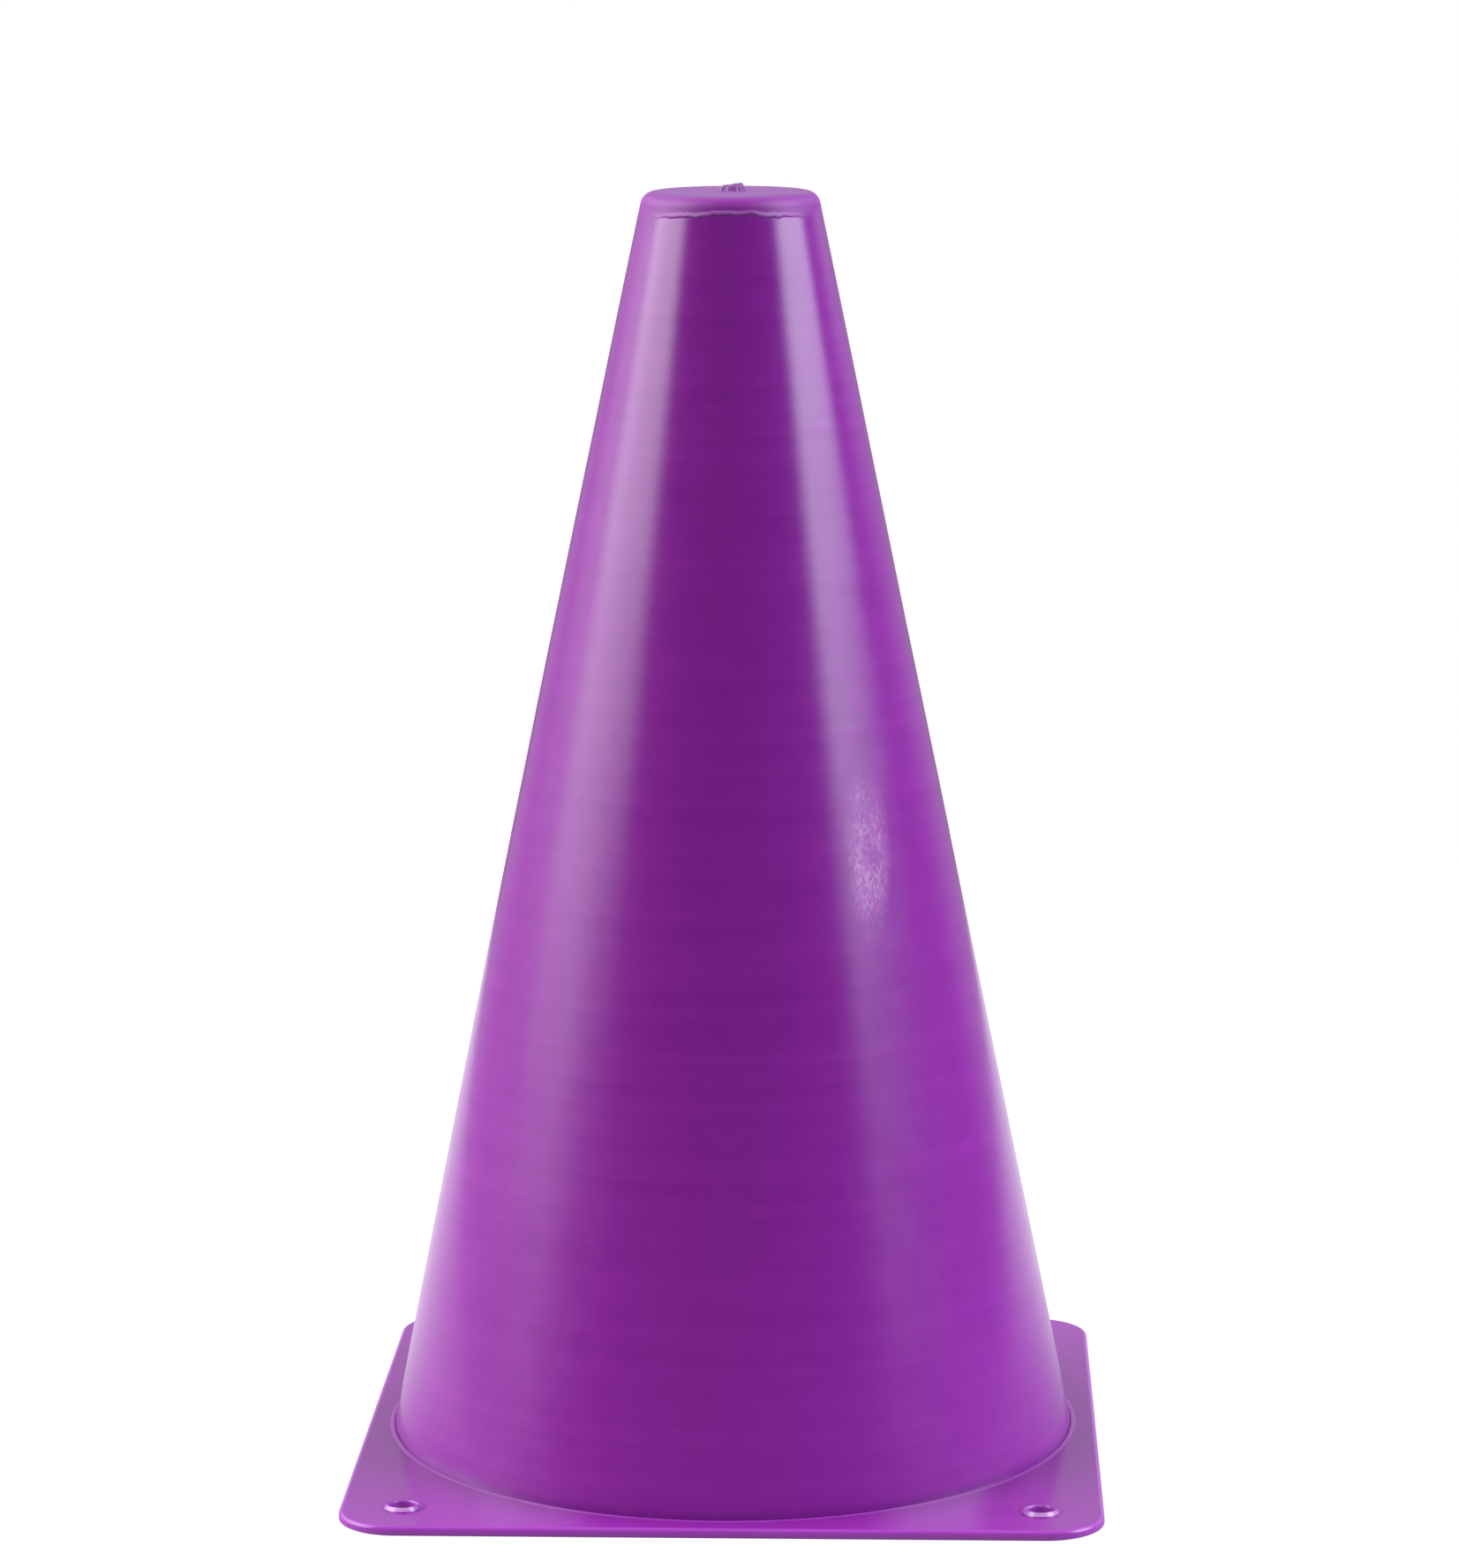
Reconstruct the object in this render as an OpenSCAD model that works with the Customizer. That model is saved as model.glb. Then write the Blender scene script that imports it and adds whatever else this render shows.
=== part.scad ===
// Sports marker cone in three pieces: a square base plate with a hole at each
// corner, a hollow tapered shell that stands in a seat on the plate, and a
// closed crown that plugs the top of the shell.
// Millimetres, +Z up. The origin is on the floor, on the axis of the cone.

/* [Cone] */
// Height from the floor to the flat of the crown
cone_h = 230; // [180:1:300]
// Outer radius of the shell at the crown seam
seam_r = 16.4; // [12:0.1:24]
// Thickness of the shell's wall, square to the wall
wall_t = 1.2; // [0.8:0.1:1.6]

/* [Base plate] */
// Side of the square plate
plate_side = 135.5; // [120:0.5:180]
// Thickness of the plate
plate_t = 1.7; // [1.3:0.1:3]
// Radius of the plate's corners, seen from above
corner_r = 10.7; // [6:0.1:14]
// Rounding of the plate's upper edge
edge_r = 0.5; // [0.2:0.05:0.9]
// Distance from the shell's foot to the middle of a side of the plate
foot_margin = 4.7; // [3.5:0.1:8]

/* [Corner holes] */
// Radius of each corner hole
hole_r = 2.5; // [1.5:0.1:3.5]
// Distance from a hole's axis to the two nearest sides of the plate
hole_inset = 11.3; // [8:0.1:14]
// Width of the raised rim round each hole
rim_w = 0.9; // [0.5:0.1:1.5]
// Height of the raised rim above the plate
rim_h = 0.6; // [0.2:0.05:1]

/* [Shell seat] */
// Thickness of the ledge that is left under the shell's foot
ledge_t = 0.8; // [0.5:0.1:1.1]
// Clearance round the shell's foot in its seat
seat_gap = 0.1; // [0.05:0.01:0.3]
// Width of the bead that rings the seat
bead_w = 1; // [0.6:0.1:1.6]
// Height of the bead above the plate
bead_h = 0.35; // [0.15:0.05:0.8]

/* [Crown] */
// Height of the crown from its seam to its flat
crown_h = 3; // [2.8:0.1:8]
// Rounding of the crown's upper edge
crown_edge_r = 1.2; // [0.8:0.1:2]
// Thickness of the crown's top
crown_t = 1.4; // [0.8:0.1:2]
// Depth of the spigot inside the shell
spigot_h = 7; // [4:0.5:15]
// Thickness of the spigot's wall
spigot_t = 1.1; // [0.8:0.1:1.8]
// Clearance between the spigot and the shell
spigot_gap = 0.1; // [0.05:0.01:0.3]
// Reach of the flash lip past the shell at the seam
lip_w = 0.3; // [0.1:0.05:0.6]
// Height of the flash lip
lip_h = 0.4; // [0.2:0.05:0.7]

/* [Gate stub] */
// Radius of the torn stub on the crown
stub_r = 2.1; // [1.5:0.1:3]
// Height of the torn stub
stub_h = 1.3; // [0.6:0.1:2.5]
// Radius of the crest on the stub
crest_r = 1; // [0.6:0.1:1.4]
// Height of the crest above the stub
crest_h = 0.5; // [0.2:0.1:1.5]
// Distance of the stub from the axis of the cone
stub_offset = 0.8; // [0:0.1:2]

/* [Hidden] */

$fn = 120;
plate_colour = [0.62, 0.29, 0.70];
shell_colour = [0.53, 0.19, 0.61];
crown_colour = [0.57, 0.24, 0.65];

// Cuts run past the faces that they open by this much
overrun = 1;
// Angle between the points of a rounding
arc_step = 10;
// Draft of the stub and of its crest, as a share of the lower radius
draft_share = 0.85;

half_side = plate_side / 2;
foot_r = half_side - foot_margin;
seam_z = cone_h - crown_h;

// The wall leans in by this much for each unit of height
lean = (foot_r - seam_r) / (seam_z - plate_t);
lean_angle = atan(lean);
wall_x = wall_t / cos(lean_angle);
spigot_x = spigot_t / cos(lean_angle);

seat_r = shell_r(ledge_t) + seat_gap;
mouth_r = bore_r(ledge_t);
hole_place = half_side - hole_inset;

// Radius of the cone's outer face at the height z
function shell_r(z) = seam_r + (seam_z - z) * lean;

// Radius of the shell's inner face at the height z
function bore_r(z) = shell_r(z) - wall_x;

// Radius of the spigot's outer face at the height z
function spigot_r(z) = bore_r(z) - spigot_gap;

// Points of an arc about a centre, from one angle to another
function arc(centre, r, from, to) = [
    for (i = [0 : ceil((to - from) / arc_step)])
        let (a = min(from + i * arc_step, to))
        centre + r * [cos(a), sin(a)]
];

// Section of a rounded rib that stands on the height z and sinks into it
function rib_section(middle, w, h, z) = concat(
    [[middle - w / 2, z - h], [middle + w / 2, z - h]],
    [for (a = [0 : arc_step : 180]) [middle + w / 2 * cos(a), z + h * sin(a)]]
);

// Section of the plate's edge, from the line x = 0 out to the reach
function edge_section(reach) = concat(
    [[0, 0], [reach, 0]],
    arc([reach - edge_r, plate_t - edge_r], edge_r, 0, 90),
    [[0, plate_t]]
);

// Outline of the crown's own section, from the axis round to the axis
function crown_section() =
    let (
        tip_z = seam_z - spigot_h,
        roof_z = cone_h - crown_t,
        arc_z = cone_h - crown_edge_r,
        arc_x = shell_r(arc_z) - crown_edge_r / cos(lean_angle)
    )
    concat(
        [
            [0, roof_z],
            [spigot_r(roof_z) - spigot_x, roof_z],
            [spigot_r(tip_z) - spigot_x, tip_z],
            [spigot_r(tip_z), tip_z],
            [spigot_r(seam_z), seam_z],
            [seam_r + lip_w, seam_z],
            [shell_r(seam_z + lip_h), seam_z + lip_h]
        ],
        arc([arc_x, arc_z], crown_edge_r, lean_angle, 90),
        [[0, cone_h]]
    );

// A bar as wide as the plate, with its two ends rounded above
module plate_bar() {
    section = edge_section(half_side);
    rotate([90, 0, 0])
        linear_extrude(height = plate_side - 2 * corner_r, center = true)
            union() {
                polygon(section);
                mirror([1, 0]) polygon(section);
            }
}

// A quarter disc that rounds one corner of the plate
module plate_corner() {
    place = half_side - corner_r;
    translate([place, place, 0])
        rotate_extrude(angle = 90)
            polygon(edge_section(corner_r));
}

// The solid outline of the plate, before anything is cut from it
module plate_blank() {
    plate_bar();
    rotate([0, 0, 90]) plate_bar();
    for (turn = [0 : 90 : 270])
        rotate([0, 0, turn]) plate_corner();
}

// Its children at each of the four corner holes
module at_holes() {
    for (x = [-hole_place, hole_place], y = [-hole_place, hole_place])
        translate([x, y, 0]) children();
}

// A rib with a rounded top that runs in a ring round the axis
module ring_rib(middle, w, h) {
    rotate_extrude() polygon(rib_section(middle, w, h, plate_t));
}

// Square plate with the seat for the shell and four rimmed holes
module base_plate() {
    color(plate_colour)
        difference() {
            union() {
                plate_blank();
                ring_rib(seat_r + bead_w / 2, bead_w, bead_h);
                at_holes() ring_rib(hole_r + rim_w / 2, rim_w, rim_h);
            }
            translate([0, 0, -overrun])
                cylinder(r = mouth_r, h = plate_t + 2 * overrun);
            translate([0, 0, ledge_t])
                cylinder(r = seat_r, h = plate_t + overrun);
            at_holes()
                translate([0, 0, -overrun])
                    cylinder(r = hole_r, h = plate_t + 2 * overrun);
        }
}

// Hollow wall of the cone, open at its foot and at the crown seam
module cone_shell() {
    color(shell_colour)
        rotate_extrude()
            polygon([
                [bore_r(ledge_t), ledge_t],
                [shell_r(ledge_t), ledge_t],
                [seam_r, seam_z],
                [bore_r(seam_z), seam_z]
            ]);
}

// Stub that the gate leaves on the crown, with a torn crest on one side
module gate_stub() {
    translate([stub_offset, 0, cone_h - crown_t / 2]) {
        cylinder(r1 = stub_r, r2 = stub_r * draft_share, h = crown_t / 2 + stub_h);
        translate([stub_r - crest_r - (1 - draft_share) * stub_r, 0, 0])
            cylinder(r1 = crest_r, r2 = crest_r * draft_share, h = crown_t / 2 + stub_h + crest_h);
    }
}

// Closed top with a spigot inside the shell and a flash lip over the seam
module crown_cap() {
    color(crown_colour)
        union() {
            rotate_extrude() polygon(crown_section());
            gate_stub();
        }
}

base_plate();
cone_shell();
crown_cap();
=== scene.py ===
"""Looks of a sports marker cone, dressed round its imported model.

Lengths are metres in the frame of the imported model: +Z is up, the origin is on the floor
under the middle of the plate, and -Y is the front.
"""

import logging
import math
from dataclasses import dataclass
from enum import Enum
from functools import cache
from types import SimpleNamespace
from typing import Any, Callable, ClassVar, Iterable, Sequence

import bmesh
import bpy
from mathutils import Matrix, Vector, noise
from mathutils.geometry import delaunay_2d_cdt


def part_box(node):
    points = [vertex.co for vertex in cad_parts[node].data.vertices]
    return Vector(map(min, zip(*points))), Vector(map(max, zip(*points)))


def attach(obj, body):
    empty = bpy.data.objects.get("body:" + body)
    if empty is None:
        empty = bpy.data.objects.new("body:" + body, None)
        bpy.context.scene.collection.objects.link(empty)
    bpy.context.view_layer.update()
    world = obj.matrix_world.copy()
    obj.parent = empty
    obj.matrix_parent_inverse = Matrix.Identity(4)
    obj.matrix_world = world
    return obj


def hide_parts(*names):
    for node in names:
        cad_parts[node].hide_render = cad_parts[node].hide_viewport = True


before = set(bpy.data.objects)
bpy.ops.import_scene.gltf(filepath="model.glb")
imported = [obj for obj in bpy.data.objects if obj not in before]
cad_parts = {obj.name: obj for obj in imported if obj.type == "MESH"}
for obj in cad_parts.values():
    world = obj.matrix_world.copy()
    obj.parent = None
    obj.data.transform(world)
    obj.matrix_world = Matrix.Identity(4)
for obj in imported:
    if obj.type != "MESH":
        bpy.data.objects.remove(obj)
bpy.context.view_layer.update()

LOG = logging.getLogger("marker_cone")
MM = 0.001
HALF_TURN = 180.0
NOISE_MEAN = 0.5
KEEP_INSIDE = 1
ROOT_BODY = "root"

Colour = tuple[float, float, float, float]
Triple = tuple[float, float, float]
Span = tuple[float, float]
Step = tuple[float, float, float, float]
Point = tuple[float, float]
Loop = list[Sequence[float]]
Ring = list[bmesh.types.BMVert]
Run = tuple[list[Point], float]
Layer = tuple["Term", Colour]


class Piece(Enum):
    """The cone's pieces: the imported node, the visible mesh and the material slot of each."""

    PLATE = ("base_plate", "plate_moulding", "plate_plastic")
    SHELL = ("cone_shell", "shell_moulding", "shell_plastic")
    CROWN = ("crown_cap", "crown_moulding", "crown_plastic")

    def __init__(self, node: str, mesh_name: str, slot: str) -> None:
        """Keeps the three names."""
        self.node, self.mesh_name, self.slot = node, mesh_name, slot

    @cache
    def box(self) -> tuple[Vector, Vector]:
        """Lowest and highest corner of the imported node."""
        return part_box(self.node)


class Term:
    """A node's output that takes part in sums as a number does."""

    def __init__(self, graph: "Graph", socket: bpy.types.NodeSocket) -> None:
        """Keeps the output socket and the graph that new nodes go to."""
        self.graph = graph
        self.socket = socket

    def apply(self, operation: str, *others: Any) -> "Term":
        """An operation of the Math node on this term and any others."""
        return self.graph.work_out(operation, self, *others)

    def __add__(self, other: Any) -> "Term":
        """Sum."""
        return self.apply("ADD", other)

    __radd__ = __add__

    def __sub__(self, other: Any) -> "Term":
        """Difference."""
        return self.apply("SUBTRACT", other)

    def __rsub__(self, other: Any) -> "Term":
        """Difference, with the term taken away."""
        return self.graph.work_out("SUBTRACT", other, self)

    def __mul__(self, other: Any) -> "Term":
        """Product."""
        return self.apply("MULTIPLY", other)

    __rmul__ = __mul__

    def __truediv__(self, other: Any) -> "Term":
        """Quotient."""
        return self.apply("DIVIDE", other)

    def __pow__(self, other: Any) -> "Term":
        """Power."""
        return self.apply("POWER", other)

    def __neg__(self) -> "Term":
        """The same size with the other sign."""
        return self.apply("MULTIPLY", -1.0)

    def hypot(self, other: "Term") -> "Term":
        """Length of the vector that has this term and another as its parts."""
        return (self * self + other * other).apply("SQRT")

    def ramp(self, low: float, high: float, start: float = 0.0, end: float = 1.0) -> "Term":
        """Smooth step.

        Args:
            low: Where the step starts.
            high: Where it ends.
            start: The value up to low.
            end: The value from high on.

        Returns:
            The stepped value.
        """
        if low > high:
            low, high, start, end = high, low, end, start
        sockets = {"Value": self, "From Min": low, "From Max": high, "To Min": start, "To Max": end}
        return self.graph.add("ShaderNodeMapRange", {"interpolation_type": "SMOOTHSTEP"}, sockets)


@dataclass(frozen=True)
class Pattern:
    """Noise: repeats for each metre, along X, Y and Z or shared, finer layers and their strength."""

    repeats: Any
    detail: float = 2.0
    roughness: float = 0.5


def even(size: float) -> Triple:
    """Repeats for each metre of a pattern that has one size along all axes."""
    return (1 / size,) * 3


class Graph:
    """Adds nodes to one node tree, and holds the position that the tree works at."""

    def __init__(self, tree: bpy.types.NodeTree, kind: str = "ShaderNodeTexCoord",
                 output: Any = "Object") -> None:
        """Empties the tree and adds the node that gives the position.

        Args:
            tree: The tree of a material, a world or a node group.
            kind: The type of the position's node.
            output: Place or name of its output.
        """
        self.tree = tree
        tree.nodes.clear()
        self.place = self.add(kind, output=output)
        parts = self.node("ShaderNodeSeparateXYZ", sockets={0: self.place}).outputs
        self.x, self.y, self.z = [Term(self, parts[axis]) for axis in "XYZ"]

    def node(self, kind: str, settings: dict[str, Any] | None = None,
             sockets: dict[Any, Any] | None = None) -> bpy.types.Node:
        """Adds a node.

        Args:
            kind: The node's type.
            settings: The node's own settings, which are set first.
            sockets: Values or terms of its inputs, by place, identifier or name.

        Returns:
            The new node.
        """
        made = self.tree.nodes.new(kind)
        for name, value in (settings or {}).items():
            setattr(made, name, value)
        for key, value in (sockets or {}).items():
            socket = self.find(made.inputs, key)
            if isinstance(value, Term):
                self.tree.links.new(value.socket, socket)
            else:
                socket.default_value = value
        return made

    @staticmethod
    def find(sockets: Sequence[bpy.types.NodeSocket], key: Any) -> bpy.types.NodeSocket:
        """A socket by its identifier, or else by its place or name."""
        return next((socket for socket in sockets if socket.identifier == key), None) or sockets[key]

    def add(self, kind: str, settings: dict[str, Any] | None = None,
            sockets: dict[Any, Any] | None = None, output: Any = 0) -> Term:
        """Adds a node and takes one of its outputs, by place, identifier or name."""
        return Term(self, self.find(self.node(kind, settings, sockets).outputs, output))

    def work_out(self, operation: str, *values: Any) -> Term:
        """Adds a Math node on numbers or terms."""
        return self.add("ShaderNodeMath", {"operation": operation}, dict(enumerate(values)))

    def vector(self, operation: str, *values: Any, output: Any = 0) -> Term:
        """Adds a Vector Math node on vectors or terms."""
        sockets = dict(enumerate(values))
        return self.add("ShaderNodeVectorMath", {"operation": operation}, sockets, output)

    def join(self, x: Any, y: Any, z: Any) -> Term:
        """A vector from its three parts."""
        return self.add("ShaderNodeCombineXYZ", sockets={0: x, 1: y, 2: z})

    def blend(self, factor: Any, first: Any, second: Any) -> Term:
        """Mix of two colours, with the share of the second."""
        sockets = {"Factor_Float": factor, "A_Color": first, "B_Color": second}
        return self.add("ShaderNodeMix", {"data_type": "RGBA"}, sockets, "Result_Color")

    def noise(self, pattern: Pattern, shift: Any, place: Term | None = None) -> Term:
        """Noise from 0 to 1.

        Args:
            pattern: The noise's pattern.
            shift: Turns the pattern into another of its kind.
            place: The position, where it isn't the tree's own.

        Returns:
            The noise.
        """
        scaled = self.vector("MULTIPLY", place or self.place, pattern.repeats)
        sockets = {"Vector": scaled, "W": shift, "Scale": 1.0, "Detail": pattern.detail,
                   "Roughness": pattern.roughness}
        return self.add("ShaderNodeTexNoise", {"noise_dimensions": "4D"}, sockets)


@dataclass(frozen=True)
class MouldedPlastic:
    """Glossy moulded plastic with flow streaks, mottling and orange peel.

    The colours are linear. The heights of the bumps are metres.
    """

    colour: Colour = (0.29, 0.026, 0.362, 1.0)
    deep_colour: Colour = (0.23, 0.016, 0.292, 1.0)
    # Pale plastic, also used as a painted highlight on the flash and on the holes' rims.
    pale_and_highlight_colour: Colour = (0.72, 0.42, 0.82, 1.0)
    roughness: float = 0.20
    mottle_roughness: float = 0.10
    streaks: Pattern = Pattern((9.0, 9.0, 300.0), 3.0, 0.55)
    streak_share: float = 1.1
    streak_height: float = 0.016 * MM
    mottle: Pattern = Pattern(even(6.0 * MM), 4.0, 0.6)
    mottle_share: float = 0.6
    mottle_height: float = 0.012 * MM
    peel: Pattern = Pattern(even(0.7 * MM))
    peel_height: float = 0.002 * MM
    shift: float = 2.0

    def material(self, name: str) -> bpy.types.Material:
        """Builds the material.

        Args:
            name: Name of the material.

        Returns:
            The new material.
        """
        made = bpy.data.materials.new(name)
        made.use_nodes = True
        graph = Graph(made.node_tree)
        streaks, mottle, peel = [graph.noise(pattern, self.shift)
                                 for pattern in (self.streaks, self.mottle, self.peel)]
        shade = (streaks - NOISE_MEAN) * self.streak_share + (mottle - NOISE_MEAN) * self.mottle_share
        tone = graph.blend(shade + NOISE_MEAN, self.deep_colour, self.colour)
        for share, colour in self.layers(graph):
            tone = graph.blend(share, tone, colour)
        height = (streaks * self.streak_height + mottle * self.mottle_height
                  + peel * self.peel_height * self.local_peel(graph))
        bump = {"Strength": 1.0, "Distance": 1.0, "Height": height}
        roughness = (mottle - NOISE_MEAN) * self.mottle_roughness + self.local_roughness(graph)
        look = {"Base Color": tone, "Roughness": roughness,
                "Normal": graph.add("ShaderNodeBump", sockets=bump)}
        shader = graph.add("ShaderNodeBsdfPrincipled", sockets=look)
        graph.node("ShaderNodeOutputMaterial", sockets={"Surface": shader})
        return made

    def layers(self, graph: Graph) -> list[Layer]:
        """Further layers of colour, each with its share at a place. Plain plastic has none."""
        return []

    def local_roughness(self, graph: Graph) -> Any:
        """The roughness, which is the same all over plain plastic."""
        return self.roughness

    def local_peel(self, graph: Graph) -> Any:
        """How strong the orange peel is, which is the same all over plain plastic."""
        return 1.0


@dataclass(frozen=True)
class RimmedPlastic(MouldedPlastic):
    """The plate's plastic: painted light on the edge, the bead and the holes' bores, painted shade
    round the cone's foot, and pale on the holes' rims, with a painted highlight on each rim's side
    towards the plate's edge.
    """

    # Painted light: a lighter tone on the plate's edge, the bead and the holes' bores.
    painted_light_colour: Colour = (0.42, 0.07, 0.54, 1.0)
    corner_place: float = 57.05 * MM
    edge_reach: float = 9.9 * MM
    painted_light_share: float = 0.6
    hole_place: float = 56.45 * MM
    hole_r: float = 2.5 * MM
    rim_z: float = 1.72 * MM
    rim_rise: float = 0.2 * MM
    rim_end: float = 3.7 * MM
    rim_fade: float = 0.3 * MM
    rim_share: float = 0.65
    # Painted highlight: each rim is paler on its side towards the plate's edge, down to far_share on
    # the other side.
    near_highlight_turn: Span = (0.1, 1.0)
    far_share: float = 0.15
    bead_place: float = 63.6 * MM
    bead_reach: float = 0.5 * MM
    # Painted shade: a darker tone round the cone's foot, fading out over the reach.
    painted_shade_colour: Colour = (0.17, 0.012, 0.21, 1.0)
    painted_shade_reach: float = 8.0 * MM
    painted_shade_share: float = 0.4

    def layers(self, graph: Graph) -> list[Layer]:
        """Painted shade round the bead, painted light on it, on the edge and in the holes, and pale
        rims with a painted highlight on their side towards the plate's edge.

        Args:
            graph: The material.

        Returns:
            The layers, in order.
        """
        wide, deep = graph.x.apply("ABSOLUTE"), graph.y.apply("ABSOLUTE")
        right, ahead = [(part - self.corner_place).apply("MAXIMUM", 0.0) for part in (wide, deep)]
        along = deep - self.hole_place
        away = (wide - self.hole_place).hypot(along)
        # Painted light on the edge, in the bores and on the bead.
        edge = right.hypot(ahead).ramp(self.edge_reach, self.edge_reach + self.rim_fade)
        bore = away.ramp(self.hole_r + self.rim_fade, self.hole_r)
        ring = graph.x.hypot(graph.y) - self.bead_place
        # Painted shade, full at the bead and inside it, fading out further away.
        shade = ring.ramp(self.painted_shade_reach, 0.0)
        bead = ring.apply("ABSOLUTE").ramp(self.bead_reach, 0.0)
        # Pale rims, with a painted highlight on the side towards the plate's edge.
        raised = graph.z.ramp(self.rim_z, self.rim_z + self.rim_rise)
        near = (along / away).ramp(*self.near_highlight_turn, self.far_share, 1.0)
        rim = away.ramp(self.rim_end, self.rim_end - self.rim_fade) * raised * near
        # Painted shade round the foot, painted light on the edge, bores and bead, and pale rims with a
        # painted highlight.
        return [(shade * self.painted_shade_share, self.painted_shade_colour),
                ((edge + bore + bead) * self.painted_light_share, self.painted_light_colour),
                (rim * self.rim_share, self.pale_and_highlight_colour)]


@dataclass(frozen=True)
class CrinkledPlastic(MouldedPlastic):
    """The shell's plastic, finely crinkled and scuffed in a patch at the right of the front, where
    pale specks are painted glints, and with a painted shadow at its foot.

    The steps of the grain and the blotch are where each starts and ends, and its two values.
    """

    patch_place: Triple = (25.6 * MM, -30.1 * MM, 115.0 * MM)
    patch_size: Triple = (5.2 * MM, 9.0 * MM, 20.0 * MM)
    patch_fade: Span = (1.0, 0.3)
    crinkle: float = 12.0
    grain: Pattern = Pattern((1500.0, 1500.0, 900.0), 3.0, 0.7)
    grain_step: Step = (0.36, 0.74, 0.25, 1.0)
    painted_glint_share: float = 0.58
    blotch: Pattern = Pattern((260.0, 260.0, 170.0), 1.0)
    blotch_step: Step = (0.38, 0.62, 0.5, 1.0)
    # Painted glints: pale specks in the crinkled patch.
    painted_glint_colour: Colour = (0.80, 0.44, 0.80, 1.0)
    # Painted shadow: a darker tone on the lowest part of the wall, where it meets the plate.
    foot_z: float = 1.6 * MM
    foot_fade: float = 2.4 * MM
    painted_foot_shadow_share: float = 0.5
    painted_foot_shadow_colour: Colour = (0.10, 0.006, 0.15, 1.0)

    def patch(self, graph: Graph) -> Term:
        """1 in the middle of the patch and 0 outside it."""
        share = graph.vector("DIVIDE", graph.vector("SUBTRACT", graph.place, self.patch_place),
                             self.patch_size)
        return graph.vector("LENGTH", share, output="Value").ramp(*self.patch_fade)

    def layers(self, graph: Graph) -> list[Layer]:
        """Painted shadow where the wall meets the plate, and painted glints as pale specks in the
        scuffed patch.

        Args:
            graph: The material.

        Returns:
            The layers, in order.
        """
        # Painted shadow at the wall's foot.
        foot = graph.z.ramp(self.foot_z + self.foot_fade, self.foot_z) * self.painted_foot_shadow_share
        # Painted glints: pale specks in the patch.
        grain = graph.noise(self.grain, self.shift).ramp(*self.grain_step)
        blotch = graph.noise(self.blotch, self.shift).ramp(*self.blotch_step)
        share = self.patch(graph) * grain * blotch * self.painted_glint_share
        return [(foot, self.painted_foot_shadow_colour), (share, self.painted_glint_colour)]

    def local_peel(self, graph: Graph) -> Term:
        """Stronger in the crinkled patch."""
        return self.patch(graph) * self.crinkle + 1.0


@dataclass(frozen=True)
class TornPlastic(MouldedPlastic):
    """The crown's plastic: duller above the flash, pale on it as stress whitening with a painted
    highlight, pale on the torn gate, with a painted shadow under the flash and painted shade on the
    flat top.
    """

    gate_z: float = 230.9 * MM
    gate_reach: float = 1.0 * MM
    gate: Pattern = Pattern(even(1.0 * MM), 3.0, 0.6)
    # Painted shadow: a deep tone in the notch under the flash.
    painted_notch_shadow_colour: Colour = (0.07, 0.006, 0.10, 1.0)
    # Painted shade: a darker, greyer tone on the flat top.
    painted_top_shade_colour: Colour = (0.22, 0.06, 0.28, 1.0)
    flat_z: float = 230.2 * MM
    flat_fade: float = 0.5 * MM
    # Pale share: stress whitening on the flash and the gate, and a painted highlight on the flash.
    pale_and_highlight_share: float = 0.4
    painted_notch_shadow_share: float = 0.2
    gate_share: float = 0.4
    dull: float = 0.3

    def layers(self, graph: Graph) -> list[Layer]:
        """Painted shade on the flat top, pale on the gate, pale on the flash with a painted highlight,
        and painted shadow in the flash's notch.

        Args:
            graph: The material.

        Returns:
            The layers, in order.
        """
        # Painted shade on the flat top.
        flat = graph.z.ramp(self.flat_z - self.flat_fade, self.flat_z)
        gate = graph.z.ramp(self.gate_z, self.gate_z + self.gate_reach)
        torn = graph.noise(self.gate, self.shift)
        # Pale flash: stress whitening and a painted highlight along the ridge.
        ridge = self.tag(graph, CrownCap.RIDGE)
        pale = (gate * torn * self.gate_share + ridge).apply("MINIMUM", 1.0)
        # Painted shadow in the notch under the flash.
        notch = self.tag(graph, CrownCap.NOTCH) * self.painted_notch_shadow_share
        return [(flat, self.painted_top_shade_colour), (notch, self.painted_notch_shadow_colour),
                (pale * self.pale_and_highlight_share, self.pale_and_highlight_colour)]

    def local_roughness(self, graph: Graph) -> Term:
        """Duller above the flash."""
        return self.tag(graph, CrownCap.UPPER) * self.dull + self.roughness

    @staticmethod
    def tag(graph: Graph, name: str) -> Term:
        """A share that the crown's mesh carries at each point."""
        return graph.add("ShaderNodeAttribute", {"attribute_name": name}, output="Fac")


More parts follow.
